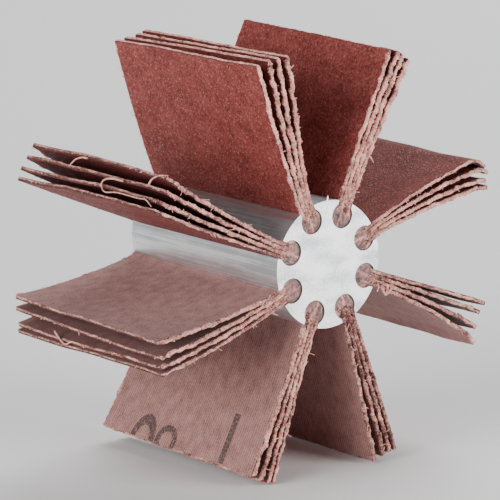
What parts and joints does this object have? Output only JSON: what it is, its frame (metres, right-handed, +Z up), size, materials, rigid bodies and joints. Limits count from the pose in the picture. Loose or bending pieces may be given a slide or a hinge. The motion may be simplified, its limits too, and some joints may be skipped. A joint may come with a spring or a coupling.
{
  "type": "flap bore polisher",
  "caption": "Rotary bore polisher: packs of rectangular abrasive-cloth flaps stand round a slotted aluminium hub with a blind drive thread in its rear face.",
  "frame": {"origin": "mouth of the drive hole, in the middle of the hub's rear face", "axes": "+Y along the hub's axis and out of the drive hole, so the front face looks towards -Y; +Z up as the tool stands on its flaps"},
  "size_m": [0.0737, 0.0422, 0.0736],
  "materials": {
    "hub_metal": "satin",
    "abrasive_cloth": "matte",
    "root_resin": "matte"
  },
  "bodies": {
    "root": {"hub": "hub_metal", "pack_1_root": "root_resin", "pack_1_flap_1": "abrasive_cloth", "pack_1_flap_2": "abrasive_cloth", "pack_1_flap_3": "abrasive_cloth", "pack_1_flap_4": "abrasive_cloth", "pack_2_root": "root_resin", "pack_2_flap_1": "abrasive_cloth", "pack_2_flap_2": "abrasive_cloth", "pack_2_flap_3": "abrasive_cloth", "pack_2_flap_4": "abrasive_cloth", "pack_3_root": "root_resin", "pack_3_flap_1": "abrasive_cloth", "pack_3_flap_2": "abrasive_cloth", "pack_3_flap_3": "abrasive_cloth", "pack_3_flap_4": "abrasive_cloth", "pack_4_root": "root_resin", "pack_4_flap_1": "abrasive_cloth", "pack_4_flap_2": "abrasive_cloth", "pack_4_flap_3": "abrasive_cloth", "pack_4_flap_4": "abrasive_cloth", "pack_5_root": "root_resin", "pack_5_flap_1": "abrasive_cloth", "pack_5_flap_2": "abrasive_cloth", "pack_5_flap_3": "abrasive_cloth", "pack_5_flap_4": "abrasive_cloth", "pack_6_root": "root_resin", "pack_6_flap_1": "abrasive_cloth", "pack_6_flap_2": "abrasive_cloth", "pack_6_flap_3": "abrasive_cloth", "pack_6_flap_4": "abrasive_cloth", "pack_7_root": "root_resin", "pack_7_flap_1": "abrasive_cloth", "pack_7_flap_2": "abrasive_cloth", "pack_7_flap_3": "abrasive_cloth", "pack_7_flap_4": "abrasive_cloth", "pack_8_root": "root_resin", "pack_8_flap_1": "abrasive_cloth", "pack_8_flap_2": "abrasive_cloth", "pack_8_flap_3": "abrasive_cloth", "pack_8_flap_4": "abrasive_cloth"}
  },
  "joints": []
}
